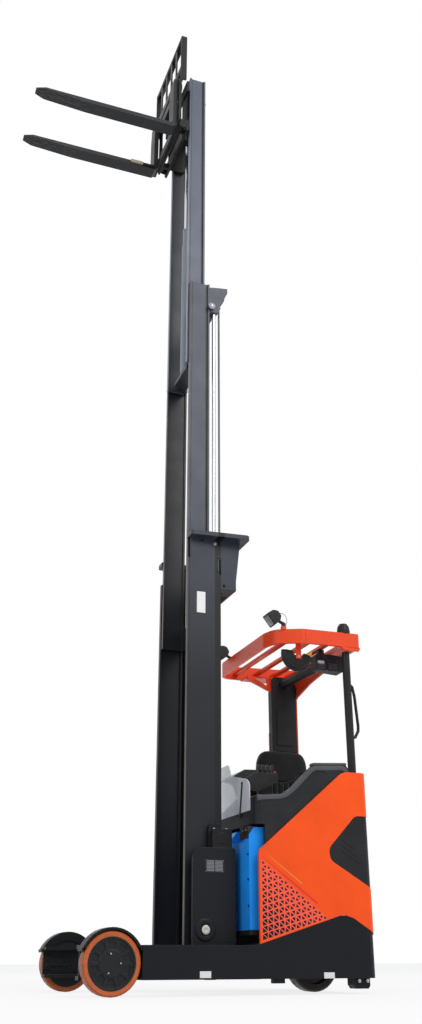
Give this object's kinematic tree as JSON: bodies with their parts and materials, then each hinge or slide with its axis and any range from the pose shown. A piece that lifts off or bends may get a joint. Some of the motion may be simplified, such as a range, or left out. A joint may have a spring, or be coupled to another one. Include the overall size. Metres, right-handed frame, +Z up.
{
  "type": "sit-on reach truck",
  "caption": "Sit-on warehouse reach truck with raised nested mast, forks on a tilting side-shift carriage, sideways operator's place under an overhead guard, and steered drive wheel.",
  "frame": {"origin": "middle of the footprint box at floor level", "axes": "+Z up, -X the way the forks point, +Y to the side away from the long near panel"},
  "size_m": [2.666, 1.27, 8.05],
  "materials": {
    "orange_paint": "satin orange body paint",
    "charcoal_paint": "satin charcoal structure paint",
    "black_paint": "satin black paint",
    "black_plastic": "grained black moulding",
    "blue_paint": "blue battery box enamel",
    "polyurethane": "cast polyurethane tread",
    "wheel_paint": "painted cast hub",
    "chromed_rod": "hard chromed piston rod",
    "chain_steel": "oiled leaf chain",
    "fork_paint": "black forged fork",
    "seat_fabric": "black woven seat cover",
    "clear_plastic": "clear polycarbonate",
    "orange_steel": "orange-red guard paint"
  },
  "bodies": {
    "chassis": {"chassis_frame": "charcoal_paint", "load_fender_near": "charcoal_paint", "load_fender_far": "charcoal_paint", "battery": "blue_paint", "battery_tray": "black_paint", "bulkhead": "black_plastic", "cab_floor": "black_paint", "seat_box": "black_plastic", "seat_cushion": "seat_fabric", "seat_back": "seat_fabric", "seat_frame": "black_plastic", "cowl": "black_plastic", "side_panel_near": "orange_paint", "side_panel_far": "orange_paint", "vent_grille_near": "black_plastic", "vent_grille_far": "black_plastic", "rear_panel": "orange_paint", "guard_pillar": "orange_steel", "pillar_lining": "black_plastic", "overhead_guard": "orange_steel", "guard_post": "black_paint", "beacon": "black_plastic", "work_lamp_near": "black_plastic", "work_lamp_far": "black_plastic", "radio_box": "black_plastic", "armrest_console": "black_plastic", "front_shield": "clear_plastic", "mirror": "black_plastic", "steering_column": "black_plastic", "steering_wheel": "black_plastic", "drive_motor": "black_paint", "reach_cylinder_barrel": "black_paint"},
    "load_wheel_near": {"load_tyre_near": "polyurethane", "load_hub_near": "wheel_paint"},
    "load_wheel_far": {"load_tyre_far": "polyurethane", "load_hub_far": "wheel_paint"},
    "steer_unit": {"drive_gearbox": "black_paint"},
    "drive_wheel": {"drive_wheel": "polyurethane"},
    "reach_carriage": {"reach_carriage": "charcoal_paint", "outer_mast": "charcoal_paint", "lift_barrel_near": "black_paint", "lift_barrel_far": "black_paint", "reach_cylinder_rod": "chromed_rod"},
    "middle_stage": {"middle_mast": "charcoal_paint", "lift_rod_near": "chromed_rod", "lift_rod_far": "chromed_rod", "lift_chain_near": "chain_steel", "lift_chain_far": "chain_steel"},
    "inner_stage": {"inner_mast": "charcoal_paint", "free_lift_barrel": "charcoal_paint"},
    "free_lift_head": {"free_lift_rod": "chromed_rod", "free_lift_crosshead": "black_paint", "free_lift_chain_near": "chain_steel", "free_lift_chain_far": "chain_steel"},
    "fork_carriage": {"fork_carriage": "black_paint"},
    "tilt_frame": {"tilt_frame": "black_paint"},
    "side_shift": {"fork_bars": "black_paint", "load_backrest": "black_paint", "fork_near": "fork_paint", "fork_far": "fork_paint"}
  },
  "joints": [
    {"name": "load_wheel_near_spin", "type": "hinge", "parent": "chassis", "child": "load_wheel_near", "pos_m": [-0.452, -0.585, 0.175], "axis": [0, 1, 0], "continuous": true},
    {"name": "load_wheel_far_spin", "type": "hinge", "parent": "chassis", "child": "load_wheel_far", "pos_m": [-0.452, 0.585, 0.175], "axis": [0, 1, 0], "continuous": true},
    {"name": "steering", "type": "hinge", "parent": "chassis", "child": "steer_unit", "pos_m": [1.07, -0.075, 0.385], "axis": [0, 0, 1], "range_deg": [-90, 90]},
    {"name": "drive_wheel_spin", "type": "hinge", "parent": "steer_unit", "child": "drive_wheel", "pos_m": [1.07, -0.075, 0.17], "axis": [0, 1, 0], "continuous": true},
    {"name": "reach", "type": "slide", "parent": "chassis", "child": "reach_carriage", "axis": [-1, 0, 0], "range_m": [0, 0.55]},
    {"name": "mast_lift", "type": "slide", "parent": "reach_carriage", "child": "middle_stage", "axis": [0, 0, 1], "range_m": [-2.27, 0]},
    {"name": "inner_lift", "type": "slide", "parent": "middle_stage", "child": "inner_stage", "axis": [0, 0, 1], "range_m": [-2.27, 0]},
    {"name": "carriage_lift", "type": "slide", "parent": "inner_stage", "child": "fork_carriage", "axis": [0, 0, 1], "range_m": [-2.37, 0]},
    {"name": "free_lift", "type": "slide", "parent": "inner_stage", "child": "free_lift_head", "axis": [0, 0, 1], "range_m": [-1.185, 0]},
    {"name": "fork_tilt", "type": "hinge", "parent": "fork_carriage", "child": "tilt_frame", "pos_m": [-0.004, 0, 7.03], "axis": [0, 1, 0], "range_deg": [-2, 4]},
    {"name": "side_shift", "type": "slide", "parent": "tilt_frame", "child": "side_shift", "axis": [0, 1, 0], "range_m": [-0.05, 0.05]}
  ],
  "couplings": [
    {"joint": "inner_lift", "follows": "mast_lift", "ratio": 1},
    {"joint": "free_lift", "follows": "carriage_lift", "ratio": 0.5}
  ]
}
